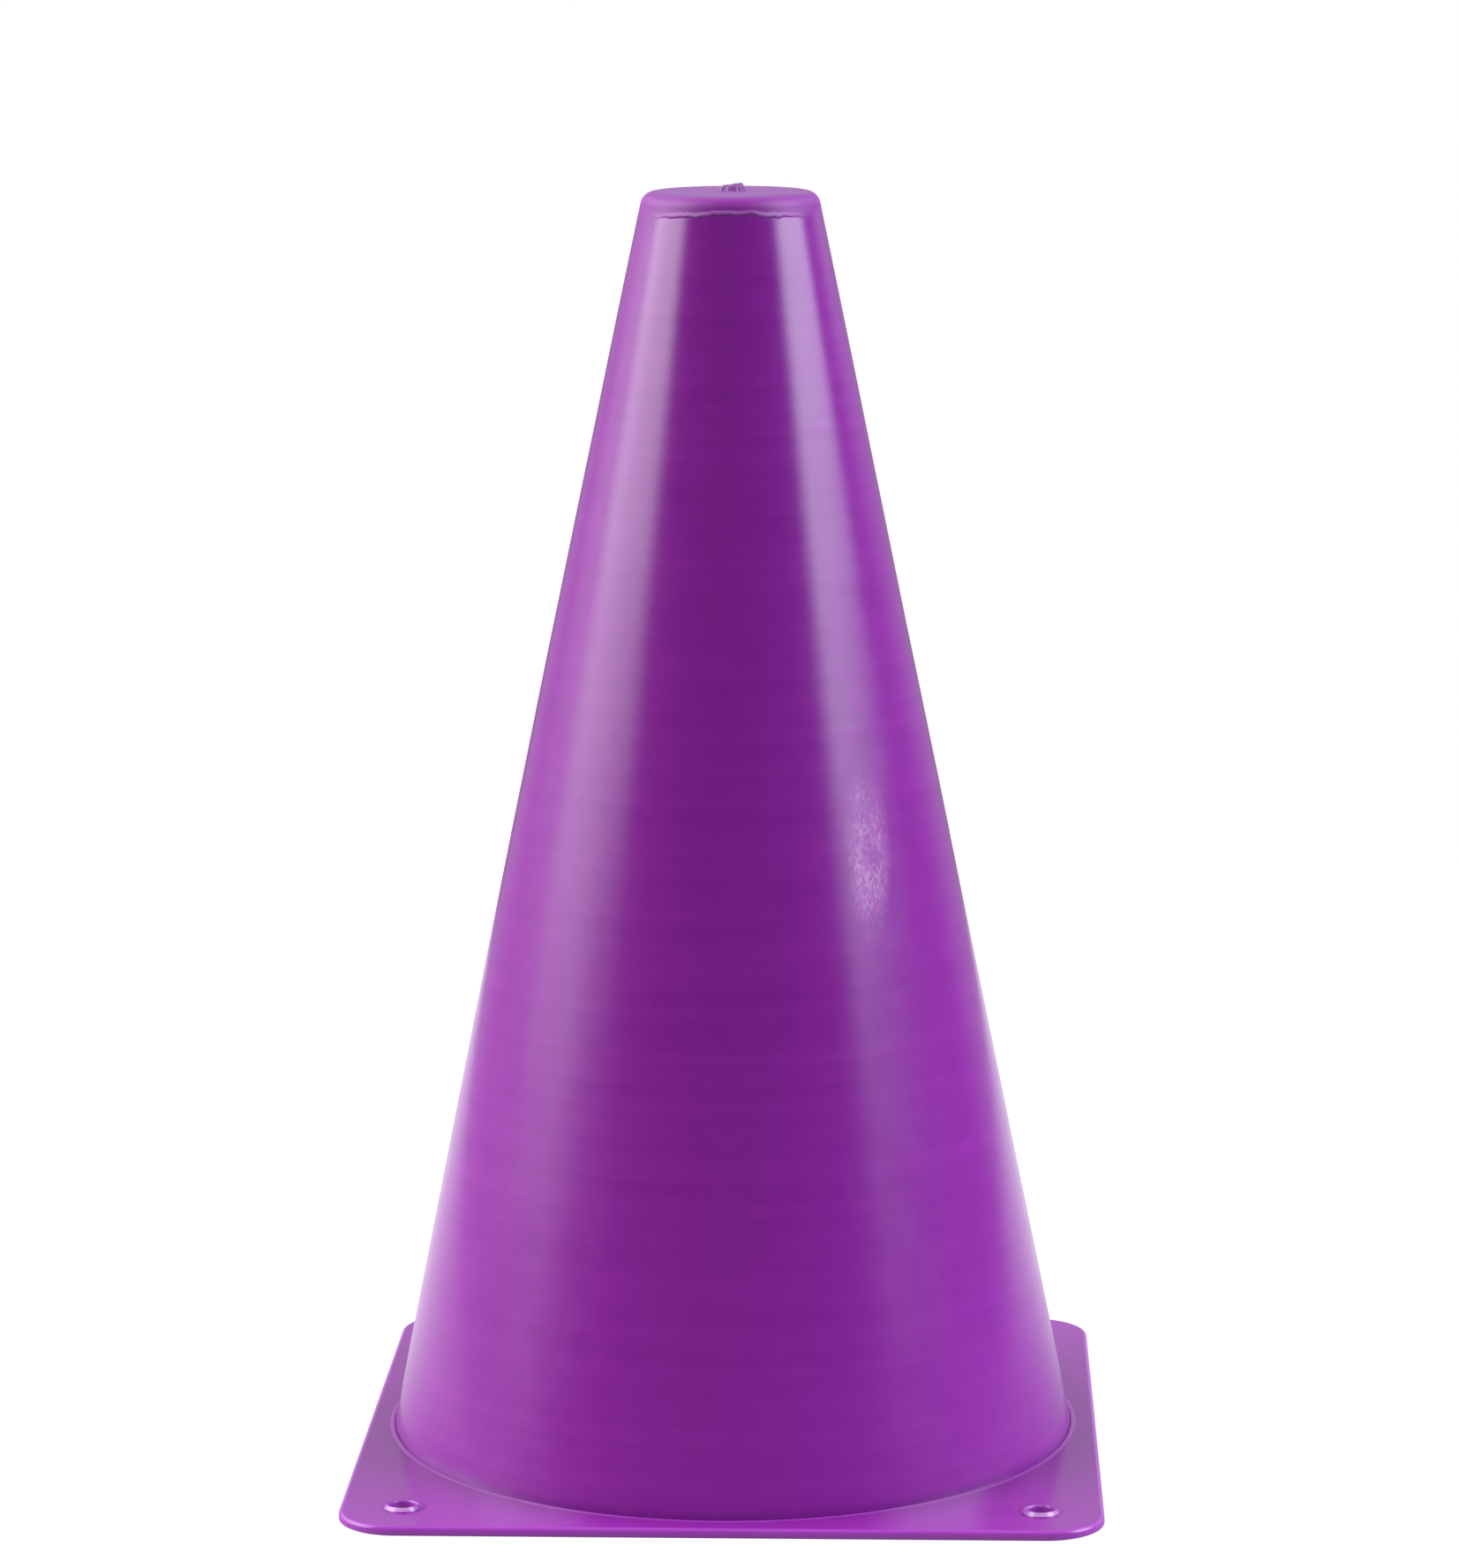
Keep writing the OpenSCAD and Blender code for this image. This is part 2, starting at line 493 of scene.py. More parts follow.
class Draft:
    """A mesh in the making."""

    def __init__(self) -> None:
        """Starts with an empty mesh."""
        self.mesh = bmesh.new()

    def ring(self, points: Iterable[Sequence[float]]) -> Ring:
        """Adds a ring of points."""
        return [self.mesh.verts.new(point) for point in points]

    def loft(self, loops: Iterable[Loop]) -> list[Ring]:
        """Closes the bands between neighbouring loops.

        Args:
            loops: The loops, which have as many points.

        Returns:
            A ring of vertices for each loop.
        """
        rings = [self.ring(loop) for loop in loops]
        for first, second in zip(rings, rings[1:]):
            for here in range(len(first)):
                after = (here + 1) % len(first)
                self.mesh.faces.new((first[here], first[after], second[after], second[here]))
        return rings

    def fill(self, rings: Sequence[Ring], loose: Loop, inside: Callable[[float, float], bool]) -> None:
        """Fills the flat sheet that some rings bound.

        Args:
            rings: The outer ring and the rings of the holes.
            loose: Further points inside the sheet.
            inside: Says whether a place is on the sheet and not in a hole.
        """
        verts = [vert for ring in rings for vert in ring]
        edges = []
        for ring in rings:
            start = verts.index(ring[0])
            edges += [(start + i, start + (i + 1) % len(ring)) for i in range(len(ring))]
        verts += self.ring(loose)
        flat = [Vector(vert.co[:2]) for vert in verts]
        _, _, faces, origins, _, _ = delaunay_2d_cdt(flat, edges, [], KEEP_INSIDE, MM * MM)
        for face in faces:
            corners = [verts[origins[index][0]] for index in face]
            middle = sum((corner.co for corner in corners), Vector()) / len(corners)
            if inside(middle.x, middle.y):
                self.mesh.faces.new(corners)

    def finish(self, name: str, sharp_angle: float) -> bpy.types.Object:
        """Turns the draft into an object whose faces point outwards.

        Args:
            name: Name of the object.
            sharp_angle: Edges that turn by more than this stay sharp.

        Returns:
            The new object.
        """
        bmesh.ops.recalc_face_normals(self.mesh, faces=self.mesh.faces)
        data = bpy.data.meshes.new(name)
        self.mesh.to_mesh(data)
        self.mesh.free()
        smooth(data, sharp_angle)
        return link(name, data)


def smooth(data: bpy.types.Mesh, sharp_angle: float) -> None:
    """Shades a mesh smooth but for its sharp edges."""
    data.shade_smooth()
    data.set_sharp_from_angle(angle=sharp_angle)


def link(name: str, data: bpy.types.ID) -> bpy.types.Object:
    """Adds an object to the scene.

    Args:
        name: Name of the object.
        data: Its mesh or camera.

    Returns:
        The new object.
    """
    made = bpy.data.objects.new(name, data)
    bpy.context.scene.collection.objects.link(made)
    return made


def arc(centre: Point, radius: float, start: float, end: float, steps: int) -> list[Point]:
    """Points of an arc, both ends included. Its angles are degrees."""
    angles = [math.radians(start + (end - start) * i / steps) for i in range(steps + 1)]
    return [(centre[0] + radius * math.cos(a), centre[1] + radius * math.sin(a)) for a in angles]


def circle(centre: Point, radius: float, height: float, steps: int) -> Loop:
    """Points of a level circle."""
    return [(x, y, height) for x, y in arc(centre, radius, 0, 360, steps)[:-1]]


@dataclass
class SubAssembly:
    """One piece of the cone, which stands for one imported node."""

    piece: Piece
    finish: MouldedPlastic

    def build(self) -> bpy.types.Object:
        """Makes the mesh with its material."""
        raise NotImplementedError

    def dress(self) -> None:
        """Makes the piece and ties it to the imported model."""
        made = self.build()
        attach(made, ROOT_BODY)
        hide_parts(self.piece.node)
        LOG.info("%s: %d vertices, %d faces", made.name, len(made.data.vertices),
                 len(made.data.polygons))


@dataclass
class BasePlate(SubAssembly):
    """Square plate with four rimmed holes, a bead round the cone's foot and a seat for it."""

    thickness: float = 1.7 * MM
    corner_r: float = 10.7 * MM
    edge_r: float = 0.8 * MM
    base_edge_r: float = 0.2 * MM
    hole_r: float = 2.5 * MM
    hole_inset: float = 11.3 * MM
    rim_w: float = 0.95 * MM
    rim_h: float = 0.58 * MM
    crest_share: float = 0.38
    rim_tilt: float = 0.3
    seat_r: float = 63.25 * MM
    seat_top_r: float = 63.07 * MM
    mouth_r: float = 62.011 * MM
    ledge_t: float = 0.8 * MM
    bead_w: float = 1.0 * MM
    bead_h: float = 0.13 * MM
    support: float = 0.25 * MM
    wave_h: float = 0.05 * MM
    wave_size: float = 35.0 * MM
    sheet_pitch: float = 3.0 * MM
    round_steps: int = 8
    corner_steps: int = 20
    side_steps: int = 36
    hole_steps: int = 64
    mouth_steps: int = 256
    sharp_angle: float = math.radians(40)

    @property
    def half_side(self) -> float:
        """Half the side of the square."""
        low, high = self.piece.box()
        return (high.x - low.x) / 2

    @property
    def hole_places(self) -> list[Point]:
        """Axes of the four holes."""
        place = self.half_side - self.hole_inset
        return [(x, y) for x in (-place, place) for y in (-place, place)]

    def outline(self, inset: float, height: float) -> Loop:
        """Rounded square, drawn in from the plate's outline.

        Args:
            inset: Distance from the plate's outline.
            height: Height of the loop.

        Returns:
            The loop.
        """
        place = self.half_side - self.corner_r
        points: list[Point] = []
        for start in range(0, 360, 90):
            middle = math.radians(start + 45)
            centre = (math.copysign(place, math.cos(middle)), math.copysign(place, math.sin(middle)))
            points += arc(centre, self.corner_r - inset, start, start + 90, self.corner_steps)
            last = Vector(points[-1])
            turned = math.radians(start + 90)
            along = Vector((-math.sin(turned), math.cos(turned))) * 2 * place
            points += [tuple(last + along * i / self.side_steps) for i in range(1, self.side_steps)]
        return [(x, y, height) for x, y in points]

    def edge(self) -> list[Loop]:
        """Loops from the sheet above, round the plate's edge, to the sheet below.

        Returns:
            The loops.
        """
        top, bottom = self.edge_r, self.base_edge_r
        section = [(top + self.support, self.thickness)]
        section += arc((top, self.thickness - top), top, 90, 180, self.round_steps)
        section += arc((bottom, bottom), bottom, 180, 270, self.round_steps // 2)
        section += [(bottom + self.support, 0.0)]
        return [self.outline(inset, height) for inset, height in section]

    def opening(self, outer: float, inner: float, ridge: list[Point]) -> list[Point]:
        """Section of an opening, from the sheet above to the sheet below, as radius and height.

        Args:
            outer: Radius where its rim starts.
            inner: Radius at its foot.
            ridge: The points between the two.

        Returns:
            The points.
        """
        foot = inner + self.base_edge_r
        lip = [(outer + 2 * self.support, self.thickness), (outer + self.support, self.thickness)]
        return lip + ridge + [(inner, self.base_edge_r), (foot, 0.0), (foot + self.support, 0.0)]

    def hole(self, centre: Point) -> list[Loop]:
        """Loops over a hole's rim, which is higher towards the plate's edge, and down the hole.

        Args:
            centre: Place of the hole.

        Returns:
            The loops.
        """
        loops = []
        for radius, height in self.rim():
            lift = max(height - self.thickness, 0.0) * self.rim_tilt
            slope = math.copysign(lift / radius, centre[1])
            level = circle(centre, radius, height, self.hole_steps)
            loops.append([(x, y, z + (y - centre[1]) * slope) for x, y, z in level])
        return loops

    def rim(self) -> list[Point]:
        """Section of a hole with a rim that slopes out to the sheet and in to the hole.

        Returns:
            The points.
        """
        outer = self.hole_r + self.rim_w
        crest = self.hole_r + self.rim_w * self.crest_share
        rise = [i / self.round_steps for i in range(self.round_steps + 1)]
        out = [(outer + (crest - outer) * s, self.rim_h * s) for s in rise]
        back = [(crest + (self.hole_r - crest) * math.sin(s * math.pi / 2),
                 self.rim_h * (math.cos(s * math.pi / 2) - 1.0) + self.rim_h) for s in rise[1:]]
        ridge = [(r, self.thickness + z) for r, z in out + back]
        ridge += [(self.hole_r, self.thickness - self.support)]
        return self.opening(outer, self.hole_r, ridge)

    def seat(self) -> list[Loop]:
        """Loops over the bead and down the seat and its ledge.

        Returns:
            The loops.
        """
        half = self.bead_w / 2
        angles = [math.pi * i / self.round_steps for i in range(self.round_steps + 1)]
        ridge = [(self.seat_top_r + half + half * math.cos(a),
                  self.thickness + self.bead_h * math.sin(a)) for a in angles]
        ridge += [(self.seat_r, self.ledge_t), (self.mouth_r, self.ledge_t)]
        section = self.opening(self.seat_top_r + self.bead_w, self.mouth_r, ridge)
        return [circle((0.0, 0.0), r, z, self.mouth_steps) for r, z in section]

    def on_sheet(self, x: float, y: float, margin: float = 0.0) -> bool:
        """Says whether a place is on the flat sheet.

        Args:
            x: Place along X.
            y: Place along Y.
            margin: Least distance from the holes and the mouth.

        Returns:
            True if it is.
        """
        clear = self.seat_r if margin else self.mouth_r
        if math.hypot(x, y) < clear + margin:
            return False
        return all(math.hypot(x - cx, y - cy) > self.hole_r + margin for cx, cy in self.hole_places)

    def loose_points(self) -> list[Point]:
        """Points of a square net on the flat sheet, clear of every loop.

        Returns:
            The points.
        """
        reach = self.half_side - self.edge_r - self.sheet_pitch / 2
        count = int(2 * reach / self.sheet_pitch)
        steps = [-reach + 2 * reach * i / count for i in range(count + 1)]
        corner = self.half_side - self.corner_r
        inner_r = self.corner_r - self.edge_r - self.sheet_pitch / 2
        points = [(x, y) for x in steps for y in steps if self.on_sheet(x, y, self.sheet_pitch)]
        return [(x, y) for x, y in points
                if math.hypot(max(abs(x) - corner, 0.0), max(abs(y) - corner, 0.0)) < inner_r]

    def wave(self, mesh: bpy.types.Mesh) -> None:
        """Gives the upper side the faint waves of a thin moulding. They only go down.

        Args:
            mesh: The plate's mesh.
        """
        for vert in mesh.vertices:
            if vert.co.z > self.ledge_t + self.support:
                vert.co.z += (noise.noise(vert.co / self.wave_size) - 1.0) * self.wave_h / 2

    def build(self) -> bpy.types.Object:
        """Builds the plate as one closed mesh.

        Returns:
            The plate.
        """
        draft = Draft()
        rims = [draft.loft(loops)
                for loops in (self.edge(), self.seat(), *map(self.hole, self.hole_places))]
        loose = self.loose_points()
        for side, height in ((0, self.thickness), (-1, 0.0)):
            sheet = [(x, y, height) for x, y in loose]
            draft.fill([rings[side] for rings in rims], sheet, self.on_sheet)
        made = draft.finish(self.piece.mesh_name, self.sharp_angle)
        made.data.materials.append(self.finish.material(self.piece.slot))
        self.wave(made.data)
        return made


class TurningGraph(Graph):
    """The node tree of a turned piece, with its named inputs."""

    def __init__(self, name: str, fields: Iterable[str]) -> None:
        """Makes the tree.

        Args:
            name: Name of the tree.
            fields: The piece's fields that have an input each.
        """
        tree = bpy.data.node_groups.new(name, "GeometryNodeTree")
        super().__init__(tree, "GeometryNodeInputPosition", 0)
        kinds = {"section": "Geometry", "segments": "Int", "plastic": "Material"}
        kinds |= dict.fromkeys(fields, "Float")
        for field, kind in kinds.items():
            tree.interface.new_socket(title(field), in_out="INPUT", socket_type="NodeSocket" + kind)
        tree.interface.new_socket("Wall", in_out="OUTPUT", socket_type="NodeSocketGeometry")
        group = self.node("NodeGroupInput")
        self.given = SimpleNamespace(**{field: Term(self, group.outputs[title(field)])
                                        for field in kinds})

    def outwards(self, out: Term) -> tuple[Term, Term]:
        """Parts along X and Y of a move away from the axis."""
        angle = self.y.apply("ARCTAN2", self.x)
        return out * angle.apply("COSINE"), out * angle.apply("SINE")

    def speckle(self, size: Term, shift: float = 0.0, place: Term | None = None) -> Term:
        """Noise of one size, in metres. Each shift gives another pattern."""
        return self.noise(Pattern(size ** -1.0), self.given.seed + shift, place)


def title(field: str) -> str:
    """A field's name as it stands on a tree's input."""
    return field.replace("_", " ").title()


@dataclass
class TurnedWall(SubAssembly):
    """A turned piece: its section goes round the axis and then warps as a thin moulding does."""

    BAND: ClassVar[str] = "band"
    CLOSED: ClassVar[bool] = True
    INPUTS: ClassVar[tuple[str, ...]] = ("path_radius", "height", "lean", "bulge", "wobble",
                                         "wobble_size", "steady_height", "seed", "weld")

    segments: int = 360
    path_radius: float = 100.0 * MM
    height: float = 230.0 * MM
    lean: float = 0.5 * MM
    bulge: float = 0.5 * MM
    wobble: float = 0.12 * MM
    wobble_size: float = 45.0 * MM
    steady_height: float = 12.0 * MM
    steady_share: float = 0.2
    seed: float = 4.0
    weld: float = 0.002 * MM
    lip_w: float = 0.3 * MM
    skirt_z: float = 225.9 * MM
    skirt_t: float = 0.12 * MM
    wall_t: float = 1.2 * MM
    sharp_angle: float = math.radians(38)

    @property
    def seam_radius(self) -> float:
        """Outer radius of the cone at the seam."""
        return Piece.CROWN.box()[1].x - self.lip_w

    @property
    def taper(self) -> float:
        """How far the wall leans in for each unit of height."""
        low, high = Piece.SHELL.box()
        return (high.x - self.seam_radius) / (high.z - low.z)

    @property
    def slant(self) -> float:
        """Level width of a wall for each unit of its thickness."""
        return math.hypot(1.0, self.taper)

    def outer(self, z: float) -> float:
        """Outer radius of the cone at a height."""
        return self.seam_radius + (Piece.SHELL.box()[1].z - z) * self.taper

    def section(self) -> list[Run]:
        """Runs of points as radius and height, each with its share of the flash's band."""
        raise NotImplementedError

    def shape(self, graph: TurningGraph) -> Term:
        """The further move of a point, for what only this piece has. A plain wall has none."""
        return graph.join(0.0, 0.0, 0.0)

    def tags(self, graph: TurningGraph) -> dict[str, Term]:
        """Shares that the finish reads at each point, by name. A plain wall has none."""
        return {}

    def tree(self) -> bpy.types.NodeTree:
        """Builds the node group that turns the section.

        Returns:
            The group.
        """
        graph = TurningGraph(self.piece.mesh_name, self.INPUTS)
        given = graph.given
        profile = graph.add("GeometryNodeMeshToCurve", sockets={0: given.section})
        path = graph.add("GeometryNodeCurvePrimitiveCircle", {"mode": "RADIUS"},
                         {"Resolution": given.segments, "Radius": given.path_radius})
        wall = graph.add("GeometryNodeCurveToMesh", sockets={0: path, "Profile Curve": profile})
        wall = graph.add("GeometryNodeMergeByDistance", sockets={0: wall, "Distance": given.weld})
        for name, share in self.tags(graph).items():
            wall = graph.add("GeometryNodeStoreNamedAttribute", {"data_type": "FLOAT"},
                             {0: wall, "Name": name, "Value": share})
        for move in (self.shape(graph), self.warp(graph)):
            wall = graph.add("GeometryNodeSetPosition", sockets={0: wall, "Offset": move})
        wall = graph.add("GeometryNodeRealizeInstances", sockets={0: wall})
        wall = graph.add("GeometryNodeSetMaterial", sockets={0: wall, "Material": given.plastic})
        graph.node("NodeGroupOutput", sockets={"Wall": wall})
        return graph.tree

    def warp(self, graph: TurningGraph) -> Term:
        """The lean, the bulge on the left and the faint wobble of the whole cone.

        Args:
            graph: The group.

        Returns:
            The move of the point.
        """
        given = graph.given
        share = graph.z / given.height
        left = (-graph.y.apply("ARCTAN2", graph.x).apply("COSINE")).apply("MAXIMUM", 0.0)
        swell = (share * math.pi).apply("SINE") * left * given.bulge
        rough = graph.noise(Pattern(given.wobble_size ** -1.0, 1.0), given.seed)
        steady = graph.z / given.steady_height - self.steady_share
        steady = steady.apply("MAXIMUM", 0.0).apply("MINIMUM", 1.0)
        out = swell + (rough - NOISE_MEAN) / NOISE_MEAN * given.wobble * steady
        across, along = graph.outwards(out)
        return graph.join(across + share * given.lean, along, 0.0)

    def build(self) -> bpy.types.Object:
        """Turns the section with Geometry Nodes and keeps the result as a plain mesh.

        Returns:
            The turned piece.
        """
        points = [(point, share) for run, share in self.section() for point in run]
        data = bpy.data.meshes.new(self.piece.mesh_name + "_section")
        edges = [(i, i + 1) for i in range(len(points) - 1)]
        if self.CLOSED:
            edges.append((len(points) - 1, 0))
        data.from_pydata([(r - self.path_radius, -z, 0.0) for (r, z), _ in points], edges, [])
        band = data.attributes.new(self.BAND, "FLOAT", "POINT")
        band.data.foreach_set("value", [share for _, share in points])
        made = link(self.piece.mesh_name, data)
        modifier = made.modifiers.new("turn", "NODES")
        modifier.node_group = self.tree()
        values = {title(field): getattr(self, field) for field in ("segments", *self.INPUTS)}
        values["Plastic"] = self.finish.material(self.piece.slot)
        for socket in modifier.node_group.interface.items_tree:
            if socket.in_out == "INPUT" and socket.name in values:
                modifier[socket.identifier] = values[socket.name]
        graph = bpy.context.evaluated_depsgraph_get()
        turned = bpy.data.meshes.new_from_object(made.evaluated_get(graph), depsgraph=graph)
        made.modifiers.clear()
        made.data = turned
        bpy.data.meshes.remove(data)
        smooth(turned, self.sharp_angle)
        return made


@dataclass
class ConeShell(TurnedWall):
    """Tapered wall of the cone, open at both ends, with a rebate for the crown's skirt."""

    rim_r: float = 0.15 * MM
    wall_rings: int = 96

    def section(self) -> list[Run]:
        """Closed section of the wall, with its two rims eased.

        Returns:
            One run of points.
        """
        low, high = self.piece.box()
        start = low.z + self.rim_r
        foot_r = self.outer(low.z)
        wall_x = self.wall_t * self.slant
        heights = [start + (self.skirt_z - start) * i / self.wall_rings
                   for i in range(self.wall_rings + 1)]
        points = [(self.outer(z), z) for z in heights]
        points += [(self.outer(z) - self.skirt_t, z) for z in (self.skirt_z, high.z)]
        points += [(self.outer(z) - wall_x, z) for z in (high.z, *reversed(heights))]
        points += [(foot_r - wall_x + self.rim_r, low.z), (foot_r - self.rim_r, low.z)]
        return [(points, 0.0)]


@dataclass
class CrownCap(TurnedWall):
    """Closed top with a skirt over the shell, a ragged flash round it, a torn gate and a spigot.

    The steps of the ridge, the notch and the upper part are in the flash's height, and those
    of the windows are radians from the front.
    """

    RIDGE: ClassVar[str] = "ridge"
    NOTCH: ClassVar[str] = "notch"
    UPPER: ClassVar[str] = "upper"
    CLOSED: ClassVar[bool] = False
    INPUTS: ClassVar[tuple[str, ...]] = TurnedWall.INPUTS + (
        "flash_level", "flash_reach", "flash_height", "flash_size", "flash_drop", "flash_waver",
        "notch", "stub_place", "stub_radius", "stub_height", "crest_place", "crest_radius",
        "crest_height", "torn_size", "flat_height")

    segments: int = 540
    flat_height: float = 230.3 * MM
    flat_slack: float = 0.05 * MM
    edge_r: float = 2.6 * MM
    top_t: float = 1.6 * MM
    spigot_t: float = 1.1 * MM
    gap: float = 0.02 * MM
    spigot_gap: float = 0.1 * MM
    flash_level: float = 227.4 * MM
    flash_reach: float = 0.2 * MM
    flash_height: float = 0.46 * MM
    flash_size: float = 3.6 * MM
    flash_drop: float = 1.1 * MM
    flash_waver: float = 1.9 * MM
    flash_window: Span = (math.radians(60), math.radians(25))
    front_window: Span = (math.radians(62), math.radians(35))
    arch_power: float = 1.3
    fine_size: float = 0.3
    fine_shift: float = 3.0
    fine_waver: float = 0.4
    coarse_share: float = 1.2
    fine_share: float = 0.8
    share_drop: float = 0.45
    least_share: float = 0.15
    ridge_steps: tuple[Span, Span] = ((-1.2, 0.0), (1.4, 0.5))
    notch_steps: tuple[Span, Span] = ((-1.6, -0.6), (-0.2, -0.5))
    upper_rise: Span = (-0.2, 0.2)
    soft_rise: Span = (0.0, 1.3)
    notch: float = 0.03 * MM
    stub_place: float = 0.4 * MM
    stub_radius: float = 2.6 * MM
    stub_height: float = 1.02 * MM
    crest_place: float = 1.2 * MM
    crest_radius: float = 1.3 * MM
    crest_height: float = 0.4 * MM
    crest_shift: float = 5.0
    torn_size: float = 1.1 * MM
    torn_share: float = 0.9
    torn_base: float = 0.5
    lump_squash: float = 2.6
    lump_rag: float = 0.8
    lump_side: Span = (1.05, 0.7)
    gate_reach: float = 1.6
    gate_rings: int = 36
    top_rings: int = 8
    side_rings: int = 44
    round_steps: int = 12

    def spigot(self, z: float) -> float:
        """Outer radius of the spigot at a height."""
        return self.outer(z) - self.wall_t * self.slant - self.spigot_gap

    def section(self) -> list[Run]:
        """Open section, from the axis over the top, down the skirt and the spigot, to the axis.

        Returns:
            The runs of the top, of the side and of what lies inside.
        """
        flat_z, skirt_z = self.flat_height, self.skirt_z
        arc_z = flat_z - self.edge_r
        arc_r = self.outer(arc_z) - self.edge_r * self.slant
        gate_end = self.stub_place + self.stub_radius * self.gate_reach
        top = [(gate_end * i / self.gate_rings, flat_z) for i in range(self.gate_rings)]
        top += [(gate_end + (arc_r - gate_end) * i / self.top_rings, flat_z)
                for i in range(self.top_rings)]
        side_angle = math.degrees(math.atan(self.taper))
        top += arc((arc_r, arc_z), self.edge_r, 90, side_angle, self.round_steps)
        start = top[-1][1]
        heights = [start + (skirt_z - start) * i / self.side_rings for i in range(1, self.side_rings)]
        side = [(self.outer(z), z) for z in heights]
        seam_z = Piece.SHELL.box()[1].z + self.gap
        tip_z = self.piece.box()[0].z
        roof_z = flat_z - self.top_t
        inset = self.skirt_t - self.gap
        spigot_x = self.spigot_t * self.slant
        inside = [(self.outer(skirt_z), skirt_z)]
        inside += [(self.outer(z) - inset, z) for z in (skirt_z, seam_z)]
        inside += [(self.spigot(z), z) for z in (seam_z, tip_z)]
        inside += [(self.spigot(z) - spigot_x, z) for z in (tip_z, roof_z)]
        inside += [(0.0, roof_z)]
        return [(top, 0.0), (side, 1.0), (inside, 0.0)]

    def flash(self, graph: TurningGraph) -> tuple[Term, Term, Term]:
        """The ragged flash, which arches over the front and fades towards the sides.

        Args:
            graph: The group.

        Returns:
            The shares of the ridge, of the notch under it and of what is above it.
        """
        given = graph.given
        band = graph.add("GeometryNodeInputNamedAttribute", {"data_type": "FLOAT"},
                         {"Name": self.BAND}, output="Attribute")
        level = graph.join(graph.x, graph.y, 0.0)
        coarse = graph.speckle(given.flash_size, place=level)
        fine = graph.speckle(given.flash_size * self.fine_size, self.fine_shift, level)
        away = graph.x.apply("ARCTAN2", -graph.y).apply("ABSOLUTE")
        arch = away ** self.arch_power * given.flash_drop
        waver = ((coarse - NOISE_MEAN) * given.flash_waver
                 + (fine - NOISE_MEAN) * given.flash_waver * self.fine_waver)
        above = (graph.z - given.flash_level + arch + waver) / given.flash_height
        window = away.ramp(*self.flash_window) * band
        ragged = coarse * self.coarse_share + fine * self.fine_share - self.share_drop
        ridge, notch = [above.ramp(*rise) * above.ramp(*fall) * window
                        for rise, fall in (self.ridge_steps, self.notch_steps)]
        soft = ((graph.z - self.skirt_z) / (given.flash_level - self.skirt_z)).ramp(*self.soft_rise)
        front = away.ramp(*self.front_window)
        upper = above.ramp(*self.upper_rise) * front + soft * (1.0 - front)
        return ridge * ragged.apply("MAXIMUM", self.least_share), notch, upper

    def tags(self, graph: TurningGraph) -> dict[str, Term]:
        """What the finish needs to know of the flash."""
        return dict(zip((self.RIDGE, self.NOTCH, self.UPPER), self.flash(graph)))

    def shape(self, graph: TurningGraph) -> Term:
        """The ragged flash along the seam and the torn stub on the top.

        Args:
            graph: The group.

        Returns:
            The move of the point.
        """
        given = graph.given
        ridge, notch, _ = self.flash(graph)
        across, along = graph.outwards(ridge * given.flash_reach - notch * given.notch)
        stub = self.lump(graph, given.stub_place, given.stub_radius, 0.0)
        crest = self.lump(graph, given.crest_place, given.crest_radius, self.crest_shift)
        torn = graph.speckle(given.torn_size) * self.torn_share + self.torn_base
        height = stub * given.stub_height * torn + crest * given.crest_height
        upper = graph.z.apply("GREATER_THAN", given.flat_height - self.flat_slack)
        return graph.join(across, along, height * upper)

    def lump(self, graph: TurningGraph, centre: Term, radius: Term, shift: float) -> Term:
        """A lump with a ragged outline beside the axis.

        Args:
            graph: The group.
            centre: Place of the lump along X.
            radius: Its radius.
            shift: Turns the outline into another of its kind.

        Returns:
            1 on the lump and 0 off it, with a steep side between.
        """
        off = graph.x - centre
        away = (off * off + graph.y * graph.y * self.lump_squash).apply("SQRT")
        ragged = graph.speckle(graph.given.torn_size, shift)
        share = away / radius + (ragged - NOISE_MEAN) * self.lump_rag
        return share.ramp(*self.lump_side)


@dataclass(frozen=True)
class Panel:
    """A soft light far away, as a window in the sky. Angles are degrees.

    The azimuth is 0 towards the front and grows to the right.
    """

    azimuth: float
    width: float
    soft: float
    low: float
    low_soft: float
    high: float
    high_soft: float
    radiance: float
    blue: float = 1.0

    def light(self, azimuth: Term, elevation: Term) -> Term:
        """The panel's radiance in every direction.

        Args:
            azimuth: Azimuth of the direction, in degrees.
            elevation: Elevation of the direction, in degrees.

        Returns:
            The radiance.
        """
        away = (azimuth - self.azimuth).apply("WRAP", HALF_TURN, -HALF_TURN).apply("ABSOLUTE")
        across = away.ramp(self.width / 2 + self.soft / 2, self.width / 2 - self.soft / 2)
        rise = elevation.ramp(self.low - self.low_soft / 2, self.low + self.low_soft / 2)
        fall = elevation.ramp(self.high + self.high_soft / 2, self.high - self.high_soft / 2)
        return across * rise * fall * self.radiance


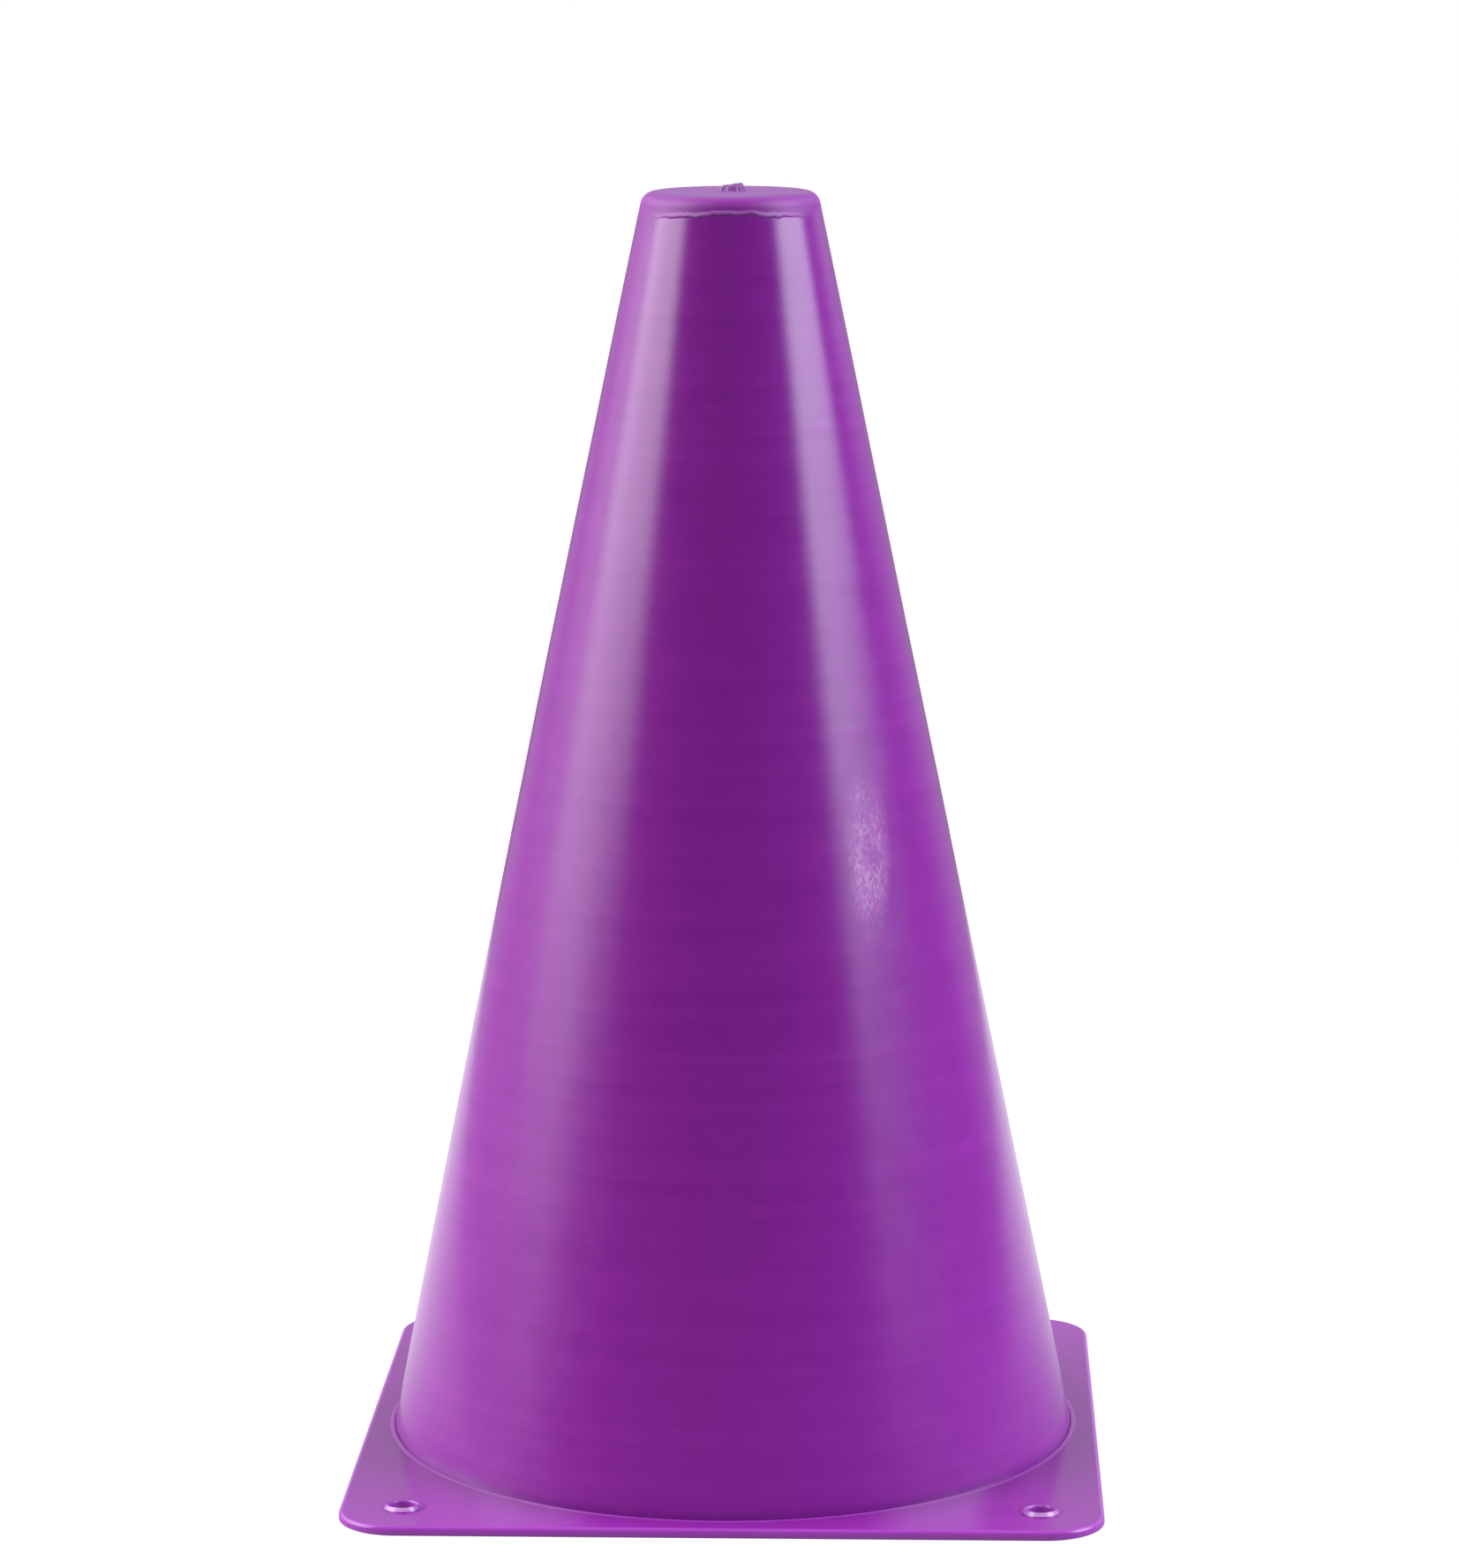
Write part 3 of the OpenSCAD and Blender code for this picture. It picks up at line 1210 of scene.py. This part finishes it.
@dataclass
class Studio:
    """Sheet of plain pale paper under the cone, which glows with painted light that is dim at the
    front and brighter towards the back and the left, and plain soft light, dark towards the front.
    """

    floor_r: float = 0.4
    floor_steps: int = 96
    floor_back: float = 0.2
    floor_drop: float = 0.1 * MM
    floor_colour: Colour = (0.25, 0.25, 0.25, 1.0)
    # Painted light: the paper glows, dim at the front and brighter towards the back and the left.
    painted_floor_glow: Span = (0.12, 0.65)
    floor_dusk: Span = (-0.05, 0.15)
    floor_turn: float = 0.4
    floor_white: float = 0.7
    floor_shine: float = 1.3
    backdrop: Colour = (1.0, 1.0, 1.0, 1.0)
    dim: float = 0.02
    panels: tuple[Panel, ...] = (
        Panel(-80, 44, 15, 11, 8, 58, 16, 6.8),
        Panel(-86, 30, 20, 5, 12, 10, 8, 5),
        Panel(-108, 34, 24, 5, 16, 38, 16, 2.6),
        Panel(83, 42, 14, 7.9, 1.6, 54, 14, 4.2, 1.14),
        Panel(83, 42, 14, 11, 7, 54, 14, 3.5, 1.14),
        Panel(180, 116, 32, 3.5, 6, 28, 10, 0.54),
        Panel(180, 150, 40, 38, 20, 75, 20, 0.9),
        Panel(-128, 40, 24, 13, 10, 58, 20, 1.4),
        Panel(126, 40, 24, 13, 10, 58, 20, 0.9),
        Panel(-132, 62, 30, -14, 6, 7, 6, 0.42),
        Panel(152, 40, 26, -14, 6, 7, 6, 0.34),
        Panel(118, 40, 24, -8, 6, 6, 6, 0.1),
        Panel(0, 170, 60, 45, 20, 80, 20, 0.15),
        Panel(0, 400, 0, 71, 8, 95, 0.1, 3.9, 0.96),
    )

    @staticmethod
    def camera_mix(graph: Graph, share: float, lit: Term, seen: Term) -> Term:
        """Mix of two shaders, of which the camera sees the second by some share."""
        ray = graph.add("ShaderNodeLightPath", output="Is Camera Ray") * share
        return graph.add("ShaderNodeMixShader", sockets={0: ray, 1: lit, 2: seen})

    def light(self) -> None:
        """Sets the sky's light. The backdrop that the camera sees is plain."""
        world = bpy.data.worlds.new("studio")
        world.use_nodes = True
        graph = Graph(world.node_tree, output="Generated")
        azimuth = graph.x.apply("ARCTAN2", -graph.y) * math.degrees(1.0)
        elevation = graph.z.apply("ARCSINE") * math.degrees(1.0)
        total = blue = self.dim
        for panel in self.panels:
            light = panel.light(azimuth, elevation)
            total = light + total
            blue = light * panel.blue + blue
        lit, plain = [graph.add("ShaderNodeBackground", sockets={"Color": colour})
                      for colour in (graph.join(total, total, blue), self.backdrop)]
        sky = self.camera_mix(graph, 1.0, lit, plain)
        graph.node("ShaderNodeOutputWorld", sockets={"Surface": sky})
        bpy.context.scene.world = world

    def lay_floor(self) -> None:
        """Lays the floor just under the plate."""
        data = bpy.data.meshes.new("floor")
        rim = circle((0.0, self.floor_back), self.floor_r, -self.floor_drop, self.floor_steps)
        data.from_pydata(rim, [], [list(range(len(rim)))])
        made = link("floor", data)
        material = bpy.data.materials.new("paper_with_painted_glow")
        material.use_nodes = True
        graph = Graph(material.node_tree)
        # Painted light: the paper's glow grows towards the back and the left.
        painted_glow = (graph.y - graph.x * self.floor_turn).ramp(*self.floor_dusk, *self.painted_floor_glow)
        look = {"Base Color": self.floor_colour, "Roughness": 1.0, "Specular IOR Level": 0.0,
                "Emission Color": graph.join(painted_glow, painted_glow, painted_glow), "Emission Strength": 1.0}
        paper = graph.add("ShaderNodeBsdfPrincipled", sockets=look)
        white = graph.add("ShaderNodeEmission",
                          sockets={"Color": self.backdrop, "Strength": self.floor_shine})
        floor = self.camera_mix(graph, self.floor_white, paper, white)
        graph.node("ShaderNodeOutputMaterial", sockets={"Surface": floor})
        data.materials.append(material)


@dataclass
class PhotoCamera:
    """Camera at the photograph's place. Angles are radians."""

    frame_h: int = 1777
    focal_px: float = 6030.9
    place: Triple = (0.03734, -0.95971, 0.29541)
    yaw: float = 0.0390
    pitch: float = 0.1787
    roll: float = -0.0044
    sensor: float = 36.0
    far: float = 100.0

    def build(self) -> None:
        """Makes the camera and gives it to the scene."""
        ahead = Vector((-math.sin(self.yaw) * math.cos(self.pitch),
                        math.cos(self.yaw) * math.cos(self.pitch), -math.sin(self.pitch)))
        right = Vector((math.cos(self.yaw), math.sin(self.yaw), 0.0))
        above = right.cross(ahead)
        side = right * math.cos(self.roll) + above * math.sin(self.roll)
        top = above * math.cos(self.roll) - right * math.sin(self.roll)
        data = bpy.data.cameras.new("photo_camera")
        data.sensor_fit = "AUTO"
        data.sensor_width = self.sensor
        data.lens = self.focal_px * self.sensor / self.frame_h
        data.clip_end = self.far
        made = link("photo_camera", data)
        turned = Matrix((side, top, -ahead)).transposed()
        made.matrix_world = Matrix.Translation(self.place) @ turned.to_4x4()
        bpy.context.scene.camera = made


def main() -> None:
    """Builds the camera, the studio and the three pieces of the cone."""
    logging.basicConfig(level=logging.INFO, format="%(name)s: %(message)s")
    bpy.context.scene.view_settings.view_transform = "Standard"
    PhotoCamera().build()
    studio = Studio()
    studio.light()
    studio.lay_floor()
    BasePlate(Piece.PLATE, RimmedPlastic()).dress()
    ConeShell(Piece.SHELL, CrinkledPlastic()).dress()
    CrownCap(Piece.CROWN, TornPlastic()).dress()


if __name__ == "__main__":
    main()
